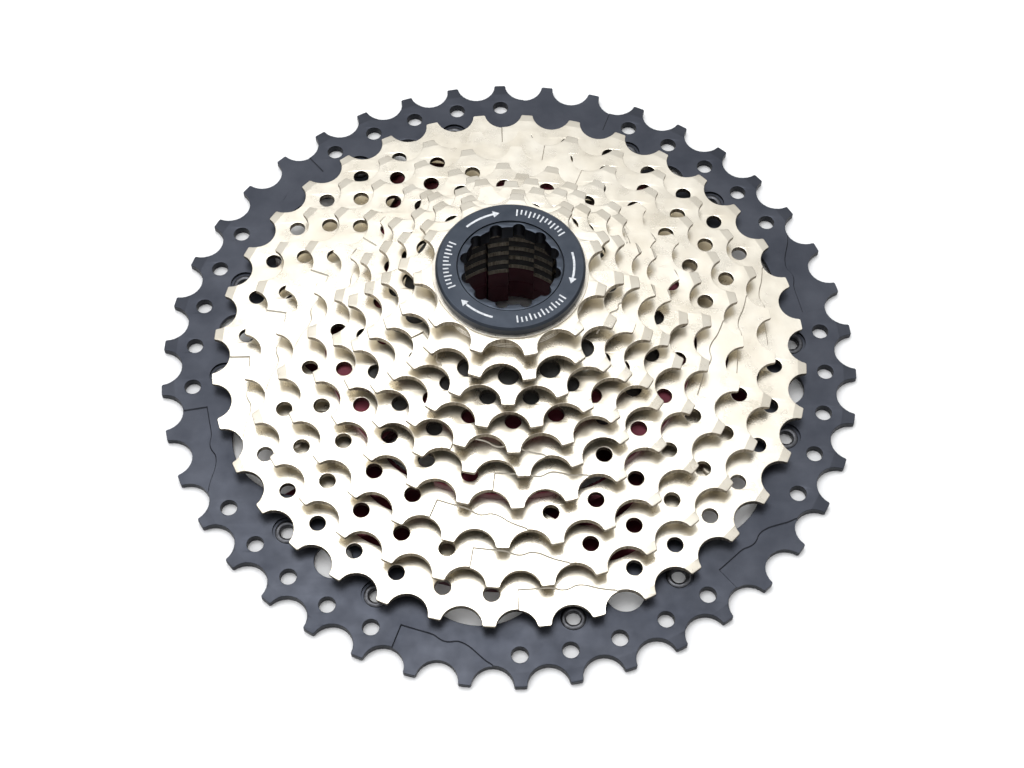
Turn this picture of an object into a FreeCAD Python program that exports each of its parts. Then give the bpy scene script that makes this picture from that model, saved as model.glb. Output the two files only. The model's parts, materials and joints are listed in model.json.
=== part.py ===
import FreeCAD, Part
import Sketcher
import math
import os

# An eleven-speed cassette lying on its largest sprocket. Millimetres and degrees.
# The origin is on the axle line, in the plane of the largest sprocket's back face,
# and +Z points along the axle towards the lockring.

doc = FreeCAD.newDocument("cassette")
sheet = doc.addObject("Spreadsheet::Sheet", "Sizes")

# ---------------------------------------------------------------- driving sizes

SIZES = [
    # chain and teeth
    ("chain_pitch", 12.7, "pitch of a half-inch chain"),
    ("seat_radius", 4.9, "radius of a gullet, opened out well past the chain roller"),
    ("seat_offset", 0.35, "gullet's centre outside the pitch circle"),
    ("flank_angle", 6.5, "lean of a tooth flank from the radial direction"),
    ("crest", -0.3, "height of a tooth tip above the pitch circle"),
    ("big_crest", 0.35, "the same on the largest sprocket"),
    ("taper_length", 2.2, "radial length of the taper on both faces of a tooth"),
    ("big_taper_length", 3.2, "the same on the largest sprocket"),
    ("tip_taper_depth", 0.35, "depth of that taper at the tip"),
    ("sprocket_step", 3.9, "distance from one sprocket to the next"),
    ("steel_thickness", 1.6, "thickness of the steel sprockets"),
    ("big_thickness", 2.4, "thickness of the largest, aluminium sprocket"),
    ("ramp_depth", 0.35, "depth of a shift ramp"),
    # splined bore
    ("lug_radius", 16.1, "crest of the lugs inside the bore"),
    ("top_lug_radius", 16.4, "the same in the smallest sprocket, clear of the lockring's thread"),
    ("spline_radius", 17.4, "floor of the spline slots"),
    ("slot_width_angle", 22.0, "width of eight of the nine spline slots"),
    ("key_slot_angle", 14.0, "width of the ninth, narrower slot"),
    ("slot_pitch_angle", 40.0, "angle from one slot to the next"),
    ("shoulder_height", 3.6, "carrier's back face above the largest sprocket's back face"),
    # spacers
    ("spacer_setback", 1.2, "spacer's rim inside the root circle of the sprocket above"),
    ("boss_setback", 0.1, "smallest sprocket's boss inside its own root circle"),
    # large carrier
    ("barrel_radius", 22.0, "outside of both carriers' splined barrels and of the narrow spacer"),
    ("web_radius", 46.0, "outer edge of the large carrier's web"),
    ("web_height", 6.0, "top of the web"),
    ("seat_width_32t", 7.0, "width of the 32-tooth seat"),
    ("seat_width_36t", 8.5, "width of the 36-tooth seat"),
    ("prong_length", 12.5, "length of the prongs under the largest sprocket"),
    ("seat_step_32t", "=web_radius + seat_width_32t", "outer edge of the 32-tooth seat"),
    ("seat_step_36t", "=seat_step_32t + seat_width_36t", "outer edge of the 36-tooth seat"),
    ("prong_radius", "=seat_step_36t + prong_length", "outer end of the prongs"),
    ("prong_thickness", 1.2, "thickness of those prongs"),
    ("carrier_split", 10.5, "height at which the two carriers meet"),
    ("wide_gap_angle", 23.0, "gap between pairs of prongs"),
    ("narrow_gap_angle", 11.0, "gap inside a pair of prongs"),
    ("web_window_inner", 26.0, "inner edge of the web's kidney windows"),
    ("web_window_margin", 5.0, "web left outside those windows"),
    ("web_window_angle", 26.0, "length of those windows"),
    # small carrier
    ("flange_radius_28t", 44.5, "outer edge of the flange over the 28-tooth sprocket"),
    ("flange_window_inner", 24.5, "inner edge of the gaps between the arms"),
    ("flange_window_angle", 21.5, "width of those gaps"),
    # ring round the plastic spacer under the 19-tooth sprocket
    ("support_gap", 0.1, "radial gap between that ring and the spacer inside it"),
    # seats
    ("seat_clearance", 0.3, "radial gap between a ring and the step inside it"),
    # rivets
    ("rivet_radius", 1.5, "shank of a rivet"),
    ("rivet_head_radius", 2.4, "both heads of a rivet"),
    ("rivet_dome_height", 0.9, "height of the domed head"),
    ("rivet_foot_depth", 0.9, "thickness of the flat head let into the carrier"),
    ("rivet_clearance", 0.04, "radial gap round a rivet's shank and flat head"),
    # hollow rivets of the largest sprocket
    ("eyelet_inset", 4.0, "hollow rivets' centres inside the prongs' ends"),
    ("eyelet_circle", "=prong_radius - eyelet_inset", "circle of the hollow rivets"),
    ("eyelet_spread", 22.0, "angle between the two hollow rivets of a pair"),
    ("eyelet_bore", 1.7, "radius of the hole through a hollow rivet"),
    ("eyelet_radius", 2.4, "radius of its tube"),
    ("eyelet_lip_radius", 3.0, "radius of its rolled lips"),
    ("eyelet_lip_thickness", 0.35, "thickness of those lips"),
    ("eyelet_recess_radius", 3.6, "recess round the upper lip"),
    ("eyelet_recess_depth", 0.7, "depth of that recess"),
    ("eyelet_foot_depth", 0.45, "depth of the recess round the lower lip"),
    # lockring and washer
    ("washer_radius", 17.9, "outside of the friction washer"),
    ("washer_bore", 15.6, "inside of the friction washer"),
    ("washer_thickness", 0.5, "thickness of the friction washer"),
    ("flange_radius", 17.15, "outside of the lockring"),
    ("flange_thickness", 2.4, "thickness of the lockring's flange"),
    ("flange_chamfer", 0.5, "chamfer round the lockring's face"),
    ("thread_radius", 15.2, "crest of the lockring's thread"),
    ("thread_root_radius", 14.6, "root of the lockring's thread"),
    ("thread_pitch", 1.0, "pitch of the lockring's thread"),
    ("thread_turns", 3, "full ridges of thread"),
    ("barrel_length", 4.2, "length of the lockring below its flange"),
    ("dish_radius", 12.1, "edge of the shallow dish in the lockring's face"),
    ("dish_depth", 0.15, "depth of that dish"),
    ("tool_lobe_radius", 10.5, "lobes between the tool notches"),
    ("tool_notch_radius", 1.5, "radius of a tool notch"),
    ("tool_notch_circle", 10.1, "circle of the tool notches' centres"),
    ("tool_notches", 12, "number of tool notches"),
    ("tool_notch_angle", 19.0, "direction of the first notch"),
    ("tool_socket_depth", 4.4, "depth of the notched socket below the dish"),
    ("barrel_bore", 12.8, "bore of the lockring below the socket"),
]

# Carrier arms: six of each kind, and where the first of them points.
ARMS = 6
RING_ARM_ANGLE = 26.0
PRONG_ARM_ANGLE = 53.0

# One row for each sprocket, largest first. Its clocking is the direction of a tooth,
# counted from the middle of the narrow spline slot. In each of its shifting periods
# a run of drilled teeth follows a run of ramped ones.
SPROCKET_COLUMNS = ("teeth", "clocking", "periods", "drilled", "first_drilled",
                    "hole_inset", "hole_radius", "ramp_start", "ramp_span", "ramp_inset")
SPROCKETS = {
    "42t": (42, 5.96, 6, 5, 3, 2.7, 1.95, 11.7, 15.0, 5.9),
    "36t": (36, 6.28, 4, 7, 2, 3.7, 1.9, 1.0, 20.0, 5.0),
    "32t": (32, 7.79, 4, 6, 1, 3.5, 1.9, -10.4, 23.0, 5.0),
    "28t": (28, -1.71, 4, 5, 1, 3.6, 1.9, -22.9, 26.0, 4.8),
    "24t": (24, 2.0, 3, 6, 4, 3.2, 1.9, 27.3, 25.0, 4.5),
    "21t": (21, -0.09, 3, 5, 3, 3.4, 1.9, 9.3, 32.0, 4.5),
    "19t": (19, 5.98, 1, 16, 2, 3.7, 1.9, 2.0, 34.0, 4.5),
    "17t": (17, 4.85, 1, 14, 2, 3.4, 1.9, -6.0, 38.0, 4.2),
    "15t": (15, 5.03, 3, 4, 0, 3.2, 2.4, 94.0, 30.0, 3.2),
    "13t": (13, 2.58, 0, 0, 0, 0, 0, 0, 0, 0),
    "11t": (11, 20.25, 0, 0, 0, 0, 0, 0, 0, 0),
}
ORDER = list(SPROCKETS)

# Rings riveted to a carrier: inner edge, rivet circle, then the radius of the scallops
# between the rivets and how far their centres are inside the inner edge.
RING_COLUMNS = ("inner", "rivet_circle", "scallop", "scallop_inset")
RINGS = {
    "36t": ("=seat_step_32t + seat_clearance", "=seat_step_32t + seat_width_36t / 2", 16.0, 8.3),
    "32t": ("=web_radius + seat_clearance", "=web_radius + seat_width_32t / 2", 14.0, 7.3),
    "28t": (33.5, 36.3, 12.0, 0.5),
}

# The largest sprocket's own openings: wide scallops between the pairs of hollow
# rivets and a small round window inside each pair, as radius and how far the centre is
# inside the ring's inner edge or the prongs' ends.
BIG_SCALLOP = (16.0, 6.8)
BIG_WINDOW = (4.5, 6.0)

# Loose sprockets with a plastic spacer below them. The 19-tooth one's spacer is narrow
# and stands inside an aluminium ring.
SPACERS = ("21t", "19t", "17t", "15t", "13t")
RINGED_SPACER = "19t"


# ------------------------------------------------------- the sheet and its names

def fill_sheet():
    rows = [(name, value) for name, value, _ in SIZES]
    for tag, values in SPROCKETS.items():
        rows += [(f"{column}_{tag}", value) for column, value in zip(SPROCKET_COLUMNS, values)]
    for tag, values in RINGS.items():
        rows += [(f"{column}_{tag}", value) for column, value in zip(RING_COLUMNS, values)]
    rows += [("ring_arm_angle", RING_ARM_ANGLE), ("prong_arm_angle", PRONG_ARM_ANGLE)]
    rows += [("big_scallop", BIG_SCALLOP[0]), ("big_scallop_inset", BIG_SCALLOP[1])]
    rows += [("big_window", BIG_WINDOW[0]), ("big_window_inset", BIG_WINDOW[1])]
    for row, (name, value) in enumerate(rows, start=1):
        sheet.set(f"A{row}", name)
        sheet.set(f"B{row}", str(value))
        sheet.setAlias(f"B{row}", name)
    doc.recompute()


def cell(name):
    """Expression text for a size in the sheet."""
    return f"Sizes.{name}"


def value(expression):
    """The number that an expression gives now."""
    answer = sheet.evalExpression(expression)
    return float(getattr(answer, "Value", answer))


def pitch_radius(tag):
    return f"({cell('chain_pitch')} / (2 * sin(180 / {cell('teeth_' + tag)})))"


def gullet_centre(tag):
    return f"({pitch_radius(tag)} + {cell('seat_offset')})"


def root_radius(tag):
    return f"({gullet_centre(tag)} - {cell('seat_radius')})"


def tip_radius(tag):
    return f"({pitch_radius(tag)} + {cell('big_crest' if tag == ORDER[0] else 'crest')})"


def thickness(tag):
    return cell("big_thickness" if tag == ORDER[0] else "steel_thickness")


def back_face(tag):
    """Height of a sprocket's back face."""
    rank = ORDER.index(tag)
    if rank == 0:
        return "0"
    return f"({cell('big_thickness')} + {rank} * {cell('sprocket_step')} - {cell('steel_thickness')})"


def front_face(tag):
    return f"({back_face(tag)} + {thickness(tag)})"


def spacer_radius(tag):
    """Rim of what stands under a loose sprocket."""
    return f"({root_radius(tag)} - {cell('spacer_setback')})"


# ------------------------------------------------------------- bodies and sketches

def new_body(name, lift="0"):
    body = doc.addObject("PartDesign::Body", name)
    body.Label = name
    body.setExpression("Placement.Base.z", lift)
    return body


def origin_item(body, role):
    return next(item for item in body.Origin.OriginFeatures if item.Role == role)


def new_sketch(body, name, plane, turn="0", lift="0"):
    """A sketch on one of the body's own planes, turned and lifted along its normal."""
    sketch = body.newObject("Sketcher::SketchObject", f"{body.Name}_{name}")
    sketch.AttachmentSupport = [(origin_item(body, plane), "")]
    sketch.MapMode = "FlatFace"
    z_axis = FreeCAD.Vector(0, 0, 1)
    sketch.AttachmentOffset = FreeCAD.Placement(FreeCAD.Vector(), FreeCAD.Rotation(z_axis, 1))
    sketch.setExpression("AttachmentOffset.Rotation.Angle", turn)
    sketch.setExpression("AttachmentOffset.Base.z", lift)
    return sketch


def bind(sketch, kind, items, expression):
    """Adds a measured constraint and ties it to the sheet."""
    start = value(expression)
    if kind == "Angle":
        start = math.radians(start)
    index = sketch.addConstraint(Sketcher.Constraint(kind, *items, start))
    sketch.setExpression(f"Constraints[{index}]", expression)


def join(sketch, first, second):
    sketch.addConstraint(Sketcher.Constraint("Coincident", *first, *second))


ORIGIN = (-1, 1)
X_AXIS = -1


def draw_polygon(sketch, corners):
    """A closed outline whose corners are pairs of expressions."""
    points = [FreeCAD.Vector(value(x), value(y), 0) for x, y in corners]
    for start, end in zip(points, points[1:] + points[:1]):
        sketch.addGeometry(Part.LineSegment(start, end), False)
    for index, (x, y) in enumerate(corners):
        join(sketch, (index - 1 if index else len(corners) - 1, 2), (index, 1))
        bind(sketch, "DistanceX", (*ORIGIN, index, 1), x)
        bind(sketch, "DistanceY", (*ORIGIN, index, 1), y)


def draw_circle(sketch, radius, x, y):
    centre = FreeCAD.Vector(value(x), value(y), 0)
    index = sketch.addGeometry(Part.Circle(centre, FreeCAD.Vector(0, 0, 1), value(radius)), False)
    bind(sketch, "Radius", (index,), radius)
    bind(sketch, "DistanceX", (*ORIGIN, index, 3), x)
    bind(sketch, "DistanceY", (*ORIGIN, index, 3), y)


def draw_wedge(sketch, inner, outer, inner_angle, outer_angle):
    """The region between two arcs about the axle, from the X axis to an angle on each."""
    centre = FreeCAD.Vector(0, 0, 0)
    normal = FreeCAD.Vector(0, 0, 1)
    ends = []
    for radius, angle in ((inner, inner_angle), (outer, outer_angle)):
        circle = Part.Circle(centre, normal, value(radius))
        arc = sketch.addGeometry(Part.ArcOfCircle(circle, 0, math.radians(value(angle))), False)
        join(sketch, (arc, 3), ORIGIN)
        bind(sketch, "Radius", (arc,), radius)
        sketch.addConstraint(Sketcher.Constraint("PointOnObject", arc, 1, X_AXIS))
        bind(sketch, "DistanceY", (*ORIGIN, arc, 2), f"{radius} * sin({angle})")
        ends.append(FreeCAD.Vector(value(f"{radius} * cos({angle})"), value(f"{radius} * sin({angle})"), 0))
    starts = [FreeCAD.Vector(value(inner), 0, 0), FreeCAD.Vector(value(outer), 0, 0)]
    for point, pair in ((1, starts), (2, ends)):
        line = sketch.addGeometry(Part.LineSegment(*pair), False)
        join(sketch, (line, 1), (0, point))
        join(sketch, (line, 2), (1, point))


def draw_gullet(sketch, tag):
    """A gullet on the X axis: a seat for the roller and two flanks that lean outwards."""
    lean = math.radians(value(cell("flank_angle")))
    seat = value(cell("seat_radius"))
    middle = value(gullet_centre(tag))
    mouth = f"({tip_radius(tag)} + {cell('seat_radius')} / 4)"
    circle = Part.Circle(FreeCAD.Vector(middle, 0, 0), FreeCAD.Vector(0, 0, 1), seat)
    low = math.pi / 2 + lean
    arc = sketch.addGeometry(Part.ArcOfCircle(circle, low, 2 * math.pi - low), False)
    side = FreeCAD.Vector(middle + seat * math.cos(low), seat * math.sin(low), 0)
    reach = value(mouth)
    top = FreeCAD.Vector(reach, side.y + (reach - side.x) * math.tan(lean), 0)
    mirror = [FreeCAD.Vector(point.x, -point.y, 0) for point in (side, top)]
    upper = sketch.addGeometry(Part.LineSegment(side, top), False)
    lower = sketch.addGeometry(Part.LineSegment(*mirror), False)
    lid = sketch.addGeometry(Part.LineSegment(top, mirror[1]), False)
    sketch.addConstraint(Sketcher.Constraint("PointOnObject", arc, 3, X_AXIS))
    bind(sketch, "DistanceX", (*ORIGIN, arc, 3), gullet_centre(tag))
    bind(sketch, "Radius", (arc,), cell("seat_radius"))
    sketch.addConstraint(Sketcher.Constraint("Tangent", arc, 1, upper, 1))
    sketch.addConstraint(Sketcher.Constraint("Tangent", arc, 2, lower, 1))
    join(sketch, (lid, 1), (upper, 2))
    join(sketch, (lid, 2), (lower, 2))
    bind(sketch, "DistanceX", (*ORIGIN, lid, 1), mouth)
    sketch.addConstraint(Sketcher.Constraint("Symmetric", lid, 1, lid, 2, X_AXIS))
    bind(sketch, "Angle", (upper,), cell("flank_angle"))


# ----------------------------------------------------------------- solid features

def turn_profile(body, corners):
    """Turns a section, drawn as radius and height, about the axle."""
    sketch = new_sketch(body, "section", "XZ_Plane")
    draw_polygon(sketch, corners)
    blank = body.newObject("PartDesign::Revolution", f"{body.Name}_blank")
    blank.Profile = sketch
    blank.ReferenceAxis = (sketch, ["V_Axis"])
    blank.Angle = 360
    return blank


def cut(body, sketch, name, depth=None, upwards=False):
    """Cuts a sketch through everything, or to a depth away from its plane."""
    feature = body.newObject("PartDesign::Pocket", f"{body.Name}_{name}")
    feature.Profile = sketch
    if depth is None:
        feature.Type = "ThroughAll"
        feature.SideType = "Symmetric"
    else:
        feature.Type = "Length"
        feature.setExpression("Length", depth)
        feature.Reversed = upwards
    return feature


def repeat(body, feature, count, spacing=None):
    """Repeats a feature about the axle, evenly or at a given spacing."""
    pattern = body.newObject("PartDesign::PolarPattern", f"{feature.Name}_round")
    pattern.Originals = [feature]
    pattern.Axis = (origin_item(body, "Z_Axis"), [""])
    if spacing is None:
        pattern.Angle = 360
    else:
        pattern.Mode = "Spacing"
        pattern.setExpression("Offset", spacing)
    pattern.setExpression("Occurrences", count)
    body.Tip = pattern
    return pattern


def cut_spline(body):
    """Nine slots for the freehub's splines, one of them narrower."""
    floor = cell("spline_radius")
    start = f"({cell('lug_radius')} - 1)"
    wide = cell("slot_width_angle")
    narrow = cell("key_slot_angle")
    key = new_sketch(body, "key", "XY_Plane", turn=f"-{narrow} / 2")
    draw_wedge(key, start, floor, narrow, narrow)
    cut(body, key, "key_slot")
    sketch = new_sketch(body, "slot", "XY_Plane", turn=f"{cell('slot_pitch_angle')} - {wide} / 2")
    draw_wedge(sketch, start, floor, wide, wide)
    repeat(body, cut(body, sketch, "slots"), "8", cell("slot_pitch_angle"))


def cut_teeth(body, tag):
    teeth = cell(f"teeth_{tag}")
    sketch = new_sketch(body, "gullet", "XY_Plane", turn=f"{cell('clocking_' + tag)} + 180 / {teeth}")
    draw_gullet(sketch, tag)
    repeat(body, cut(body, sketch, "gullets"), teeth)


def drill_teeth(body, tag):
    """A hole below each drilled tooth of one shifting period, then the other periods."""
    circle = f"({root_radius(tag)} - {cell('hole_inset_' + tag)})"
    sketch = new_sketch(body, "drilling", "XY_Plane", turn=cell(f"clocking_{tag}"))
    for number in range(int(value(cell(f"drilled_{tag}")))):
        angle = f"(({cell('first_drilled_' + tag)} + {number}) * 360 / {cell('teeth_' + tag)})"
        x, y = f"{circle} * cos({angle})", f"{circle} * sin({angle})"
        draw_circle(sketch, cell(f"hole_radius_{tag}"), x, y)
    repeat(body, cut(body, sketch, "holes"), cell(f"periods_{tag}"))


def cut_ramps(body, tag):
    """Shallow steps in the front face that lift the chain onto the teeth."""
    floor = f"({root_radius(tag)} - {cell('ramp_inset_' + tag)})"
    rim = f"({tip_radius(tag)} + 1)"
    span = cell(f"ramp_span_{tag}")
    sketch = new_sketch(body, "ramp", "XY_Plane", turn=cell(f"ramp_start_{tag}"), lift=thickness(tag))
    draw_wedge(sketch, floor, rim, f"({span} * 0.55)", span)
    repeat(body, cut(body, sketch, "ramps", cell("ramp_depth")), cell(f"periods_{tag}"))


def cut_circles(body, name, radius, circle, angle, depth=None, upwards=False, lift="0"):
    """Six round cuts, one for each arm."""
    sketch = new_sketch(body, name, "XY_Plane", turn=angle, lift=lift)
    draw_circle(sketch, radius, circle, "0")
    repeat(body, cut(body, sketch, name + "_cut", depth, upwards), str(ARMS))


def cut_wedges(body, name, inner, outer, width, angle):
    """Six cuts between two circles, each centred on an angle."""
    sketch = new_sketch(body, name, "XY_Plane", turn=f"{angle} - {width} / 2")
    draw_wedge(sketch, inner, outer, width, width)
    repeat(body, cut(body, sketch, name + "_cut"), str(ARMS))


# --------------------------------------------------------------------- sprockets

def rim_corners(tag, inner_back, inner_front):
    """Section of a sprocket: its inner corners are given, its rim tapers on both faces."""
    tip = tip_radius(tag)
    shoulder = f"({tip} - {cell('big_taper_length' if tag == ORDER[0] else 'taper_length')})"
    taper = cell("tip_taper_depth")
    high = thickness(tag)
    rim = [(shoulder, "0"), (tip, taper), (tip, f"{high} - {taper}"), (shoulder, high)]
    return inner_back + rim + inner_front


def finish_teeth(body, tag):
    cut_teeth(body, tag)
    if SPROCKETS[tag][SPROCKET_COLUMNS.index("periods")]:
        drill_teeth(body, tag)
        cut_ramps(body, tag)


def make_loose_sprocket(tag):
    """A sprocket with its own splined bore. The smallest has a boss in place of a spacer."""
    body = new_body(f"sprocket_{tag}", back_face(tag))
    bore = cell("lug_radius")
    back = [(bore, "0")]
    if tag == ORDER[-1]:
        bore = cell("top_lug_radius")
        boss = f"({root_radius(tag)} - {cell('boss_setback')})"
        gap = f"({thickness(tag)} - {cell('sprocket_step')})"
        back = [(bore, gap), (boss, gap), (boss, "0")]
    turn_profile(body, rim_corners(tag, back, [(bore, thickness(tag))]))
    finish_teeth(body, tag)
    cut_spline(body)


def make_riveted_ring(tag):
    """A toothed ring with scallops inside and a rivet hole in each of its six lugs."""
    body = new_body(f"sprocket_{tag}", back_face(tag))
    inner = cell(f"inner_{tag}")
    turn_profile(body, rim_corners(tag, [(inner, "0")], [(inner, thickness(tag))]))
    finish_teeth(body, tag)
    between = f"{cell('ring_arm_angle')} + 180 / {ARMS}"
    scallop_circle = f"({inner} - {cell('scallop_inset_' + tag)})"
    cut_circles(body, "scallop", cell(f"scallop_{tag}"), scallop_circle, between)
    hole = f"({cell('rivet_radius')} + {cell('rivet_clearance')})"
    cut_circles(body, "rivet_hole", hole, cell(f"rivet_circle_{tag}"), cell("ring_arm_angle"))


def eyelet_angles():
    middle = cell("prong_arm_angle")
    spread = cell("eyelet_spread")
    return (f"{middle} - {spread} / 2", f"{middle} + {spread} / 2")


def make_big_sprocket(tag):
    """The largest ring, recessed at the back for the carrier's prongs."""
    body = new_body(f"sprocket_{tag}", back_face(tag))
    inner = f"({cell('seat_step_36t')} + {cell('seat_clearance')})"
    recess = f"({cell('prong_radius')} + {cell('seat_clearance')})"
    floor = cell("prong_thickness")
    back = [(inner, floor), (recess, floor), (recess, "0")]
    turn_profile(body, rim_corners(tag, back, [(inner, thickness(tag))]))
    finish_teeth(body, tag)
    middle = cell("prong_arm_angle")
    window_circle = f"({cell('prong_radius')} - {cell('big_window_inset')})"
    cut_circles(body, "window", cell("big_window"), window_circle, middle)
    between = f"{middle} + 180 / {ARMS}"
    scallop_circle = f"({inner} - {cell('big_scallop_inset')})"
    cut_circles(body, "scallop", cell("big_scallop"), scallop_circle, between)
    hole = f"({cell('eyelet_radius')} + {cell('rivet_clearance')})"
    for side, angle in zip("ab", eyelet_angles()):
        cut_circles(body, f"eyelet_{side}", hole, cell("eyelet_circle"), angle)
        cut_circles(body, f"eyelet_recess_{side}", cell("eyelet_recess_radius"), cell("eyelet_circle"),
                    angle, cell("eyelet_recess_depth"), lift=thickness(tag))


# -------------------------------------------------------- spacers and carriers

def make_spacer(tag):
    """Plastic spacer under a loose sprocket."""
    below = ORDER[ORDER.index(tag) - 1]
    body = new_body(f"spacer_{tag[:-1]}_{below[:-1]}", front_face(below))
    high = f"({back_face(tag)} - {front_face(below)})"
    bore = cell("lug_radius")
    rim = cell("barrel_radius") if tag == RINGED_SPACER else spacer_radius(tag)
    turn_profile(body, [(bore, "0"), (rim, "0"), (rim, high), (bore, high)])
    cut_spline(body)


def make_support_ring(tag):
    """Aluminium ring that backs a loose sprocket, round its narrow spacer."""
    below = ORDER[ORDER.index(tag) - 1]
    body = new_body(f"support_ring_{tag}", front_face(below))
    high = f"({back_face(tag)} - {front_face(below)})"
    inner = f"({cell('barrel_radius')} + {cell('support_gap')})"
    rim = spacer_radius(tag)
    turn_profile(body, [(inner, "0"), (rim, "0"), (rim, high), (inner, high)])


def make_large_carrier():
    """Splined barrel and web with seats for the three largest sprockets."""
    body = new_body("large_carrier")
    bore = cell("lug_radius")
    barrel = cell("barrel_radius")
    web = cell("web_radius")
    seat_32t = cell("seat_step_32t")
    seat_36t = cell("seat_step_36t")
    prong = cell("prong_radius")
    shoulder = cell("shoulder_height")
    section = [
        (bore, shoulder), (web, shoulder), (web, "0"), (prong, "0"),
        (prong, cell("prong_thickness")), (seat_36t, cell("prong_thickness")),
        (seat_36t, back_face("36t")), (seat_32t, back_face("36t")),
        (seat_32t, back_face("32t")), (web, back_face("32t")),
        (web, cell("web_height")), (barrel, cell("web_height")),
        (barrel, cell("carrier_split")), (bore, cell("carrier_split")),
    ]
    turn_profile(body, section)
    middle = cell("prong_arm_angle")
    beyond = f"({prong} + 1)"
    cut_wedges(body, "narrow_gap", seat_36t, beyond, cell("narrow_gap_angle"), middle)
    cut_wedges(body, "wide_gap", seat_36t, beyond, cell("wide_gap_angle"), f"{middle} + 180 / {ARMS}")
    cut_wedges(body, "web_window", cell("web_window_inner"), f"({web} - {cell('web_window_margin')})",
               cell("web_window_angle"), middle)
    hole = f"({cell('eyelet_radius')} + {cell('rivet_clearance')})"
    foot = f"({cell('eyelet_lip_radius')} + {cell('rivet_clearance')})"
    for side, angle in zip("ab", eyelet_angles()):
        cut_circles(body, f"eyelet_{side}", hole, cell("eyelet_circle"), angle)
        cut_circles(body, f"eyelet_foot_{side}", foot, cell("eyelet_circle"), angle,
                    cell("eyelet_foot_depth"), upwards=True)
    for tag in ("36t", "32t"):
        cut_rivet_seat(body, tag)
    cut_spline(body)


def cut_rivet_seat(body, tag, lift="0", upwards=True):
    """Holes for a sprocket's rivets, with a recess for their flat heads."""
    angle = cell("ring_arm_angle")
    circle = cell(f"rivet_circle_{tag}")
    shank = f"({cell('rivet_radius')} + {cell('rivet_clearance')})"
    head = f"({cell('rivet_head_radius')} + {cell('rivet_clearance')})"
    cut_circles(body, f"rivet_{tag}", shank, circle, angle)
    cut_circles(body, f"rivet_foot_{tag}", head, circle, angle, cell("rivet_foot_depth"), upwards, lift)


def make_small_carrier():
    """Splined barrel with a flange that has the 28-tooth sprocket riveted under it."""
    base = cell("carrier_split")
    body = new_body("small_carrier", base)
    bore = cell("lug_radius")
    barrel = cell("barrel_radius")
    flange = cell("flange_radius_28t")
    flange_back = f"({front_face('28t')} - {base})"
    top = f"({back_face('24t')} - {base})"
    section = [
        (bore, "0"), (barrel, "0"), (barrel, flange_back), (flange, flange_back),
        (flange, top), (bore, top),
    ]
    turn_profile(body, section)
    cut_wedges(body, "window", cell("flange_window_inner"), f"({flange} + 1)",
               cell("flange_window_angle"), f"{cell('ring_arm_angle')} + 180 / {ARMS}")
    cut_rivet_seat(body, "28t", top, upwards=False)
    cut_spline(body)


# ------------------------------------------------------------ lockring and washer

def make_washer():
    body = new_body("lockring_washer", front_face("11t"))
    inner = cell("washer_bore")
    outer = cell("washer_radius")
    high = cell("washer_thickness")
    turn_profile(body, [(inner, "0"), (outer, "0"), (outer, high), (inner, high)])


def make_lockring():
    """Flange with a notched tool socket over a threaded barrel."""
    body = new_body("lockring", f"{front_face('11t')} + {cell('washer_thickness')}")
    high = cell("flange_thickness")
    chamfer = cell("flange_chamfer")
    rim = cell("flange_radius")
    dish = f"({high} - {cell('dish_depth')})"
    socket = f"({dish} - {cell('tool_socket_depth')})"
    end = f"(0 - {cell('barrel_length')})"
    root = cell("thread_root_radius")
    pitch = cell("thread_pitch")
    section = [
        (cell("tool_lobe_radius"), dish), (cell("dish_radius"), dish), (cell("dish_radius"), high),
        (f"({rim} - {chamfer})", high), (rim, f"({high} - {chamfer})"), (rim, "0"), (root, "0"),
    ]
    for ridge in range(int(value(cell("thread_turns")))):
        start = f"-({ridge} + 0.5) * {pitch}"
        section += [(root, start), (cell("thread_radius"), f"{start} - 0.5 * {pitch}")]
    section += [(root, f"-({cell('thread_turns')} + 0.5) * {pitch}"), (root, end)]
    section += [(cell("barrel_bore"), end), (cell("barrel_bore"), socket)]
    section.append((cell("tool_lobe_radius"), socket))
    turn_profile(body, section)
    notch = new_sketch(body, "notch", "XY_Plane", turn=cell("tool_notch_angle"))
    draw_circle(notch, cell("tool_notch_radius"), cell("tool_notch_circle"), "0")
    repeat(body, cut(body, notch, "notches"), cell("tool_notches"))


# ------------------------------------------------------------------------- rivets

def ring_of(solid, circle, angles):
    """Separate copies of a fastener, six for each angle given."""
    copies = []
    for angle in angles:
        for arm in range(ARMS):
            copy = solid.copy()
            copy.translate(FreeCAD.Vector(circle, 0, 0))
            turn = angle + arm * 360 / ARMS
            copy.rotate(FreeCAD.Vector(0, 0, 0), FreeCAD.Vector(0, 0, 1), turn)
            copies.append(copy)
    return Part.makeCompound(copies)


def add_fasteners(name, shape):
    feature = doc.addObject("Part::Feature", name)
    feature.Label = name
    feature.Shape = shape


def turned_solid(points):
    """A solid turned about the Z axis from a closed section of radius and height."""
    wire = Part.makePolygon([FreeCAD.Vector(x, 0, z) for x, z in points + points[:1]])
    return Part.Face(wire).revolve(FreeCAD.Vector(0, 0, 0), FreeCAD.Vector(0, 0, 1), 360)


def dome(height, radius, base, outwards):
    """Low domed head as a section: from its rim to the fastener's axis."""
    shoulder = base + outwards * height / 2
    return [(radius, base), (radius, shoulder), (radius * 0.7, base + outwards * height * 0.9),
            (0, base + outwards * height)]


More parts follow.
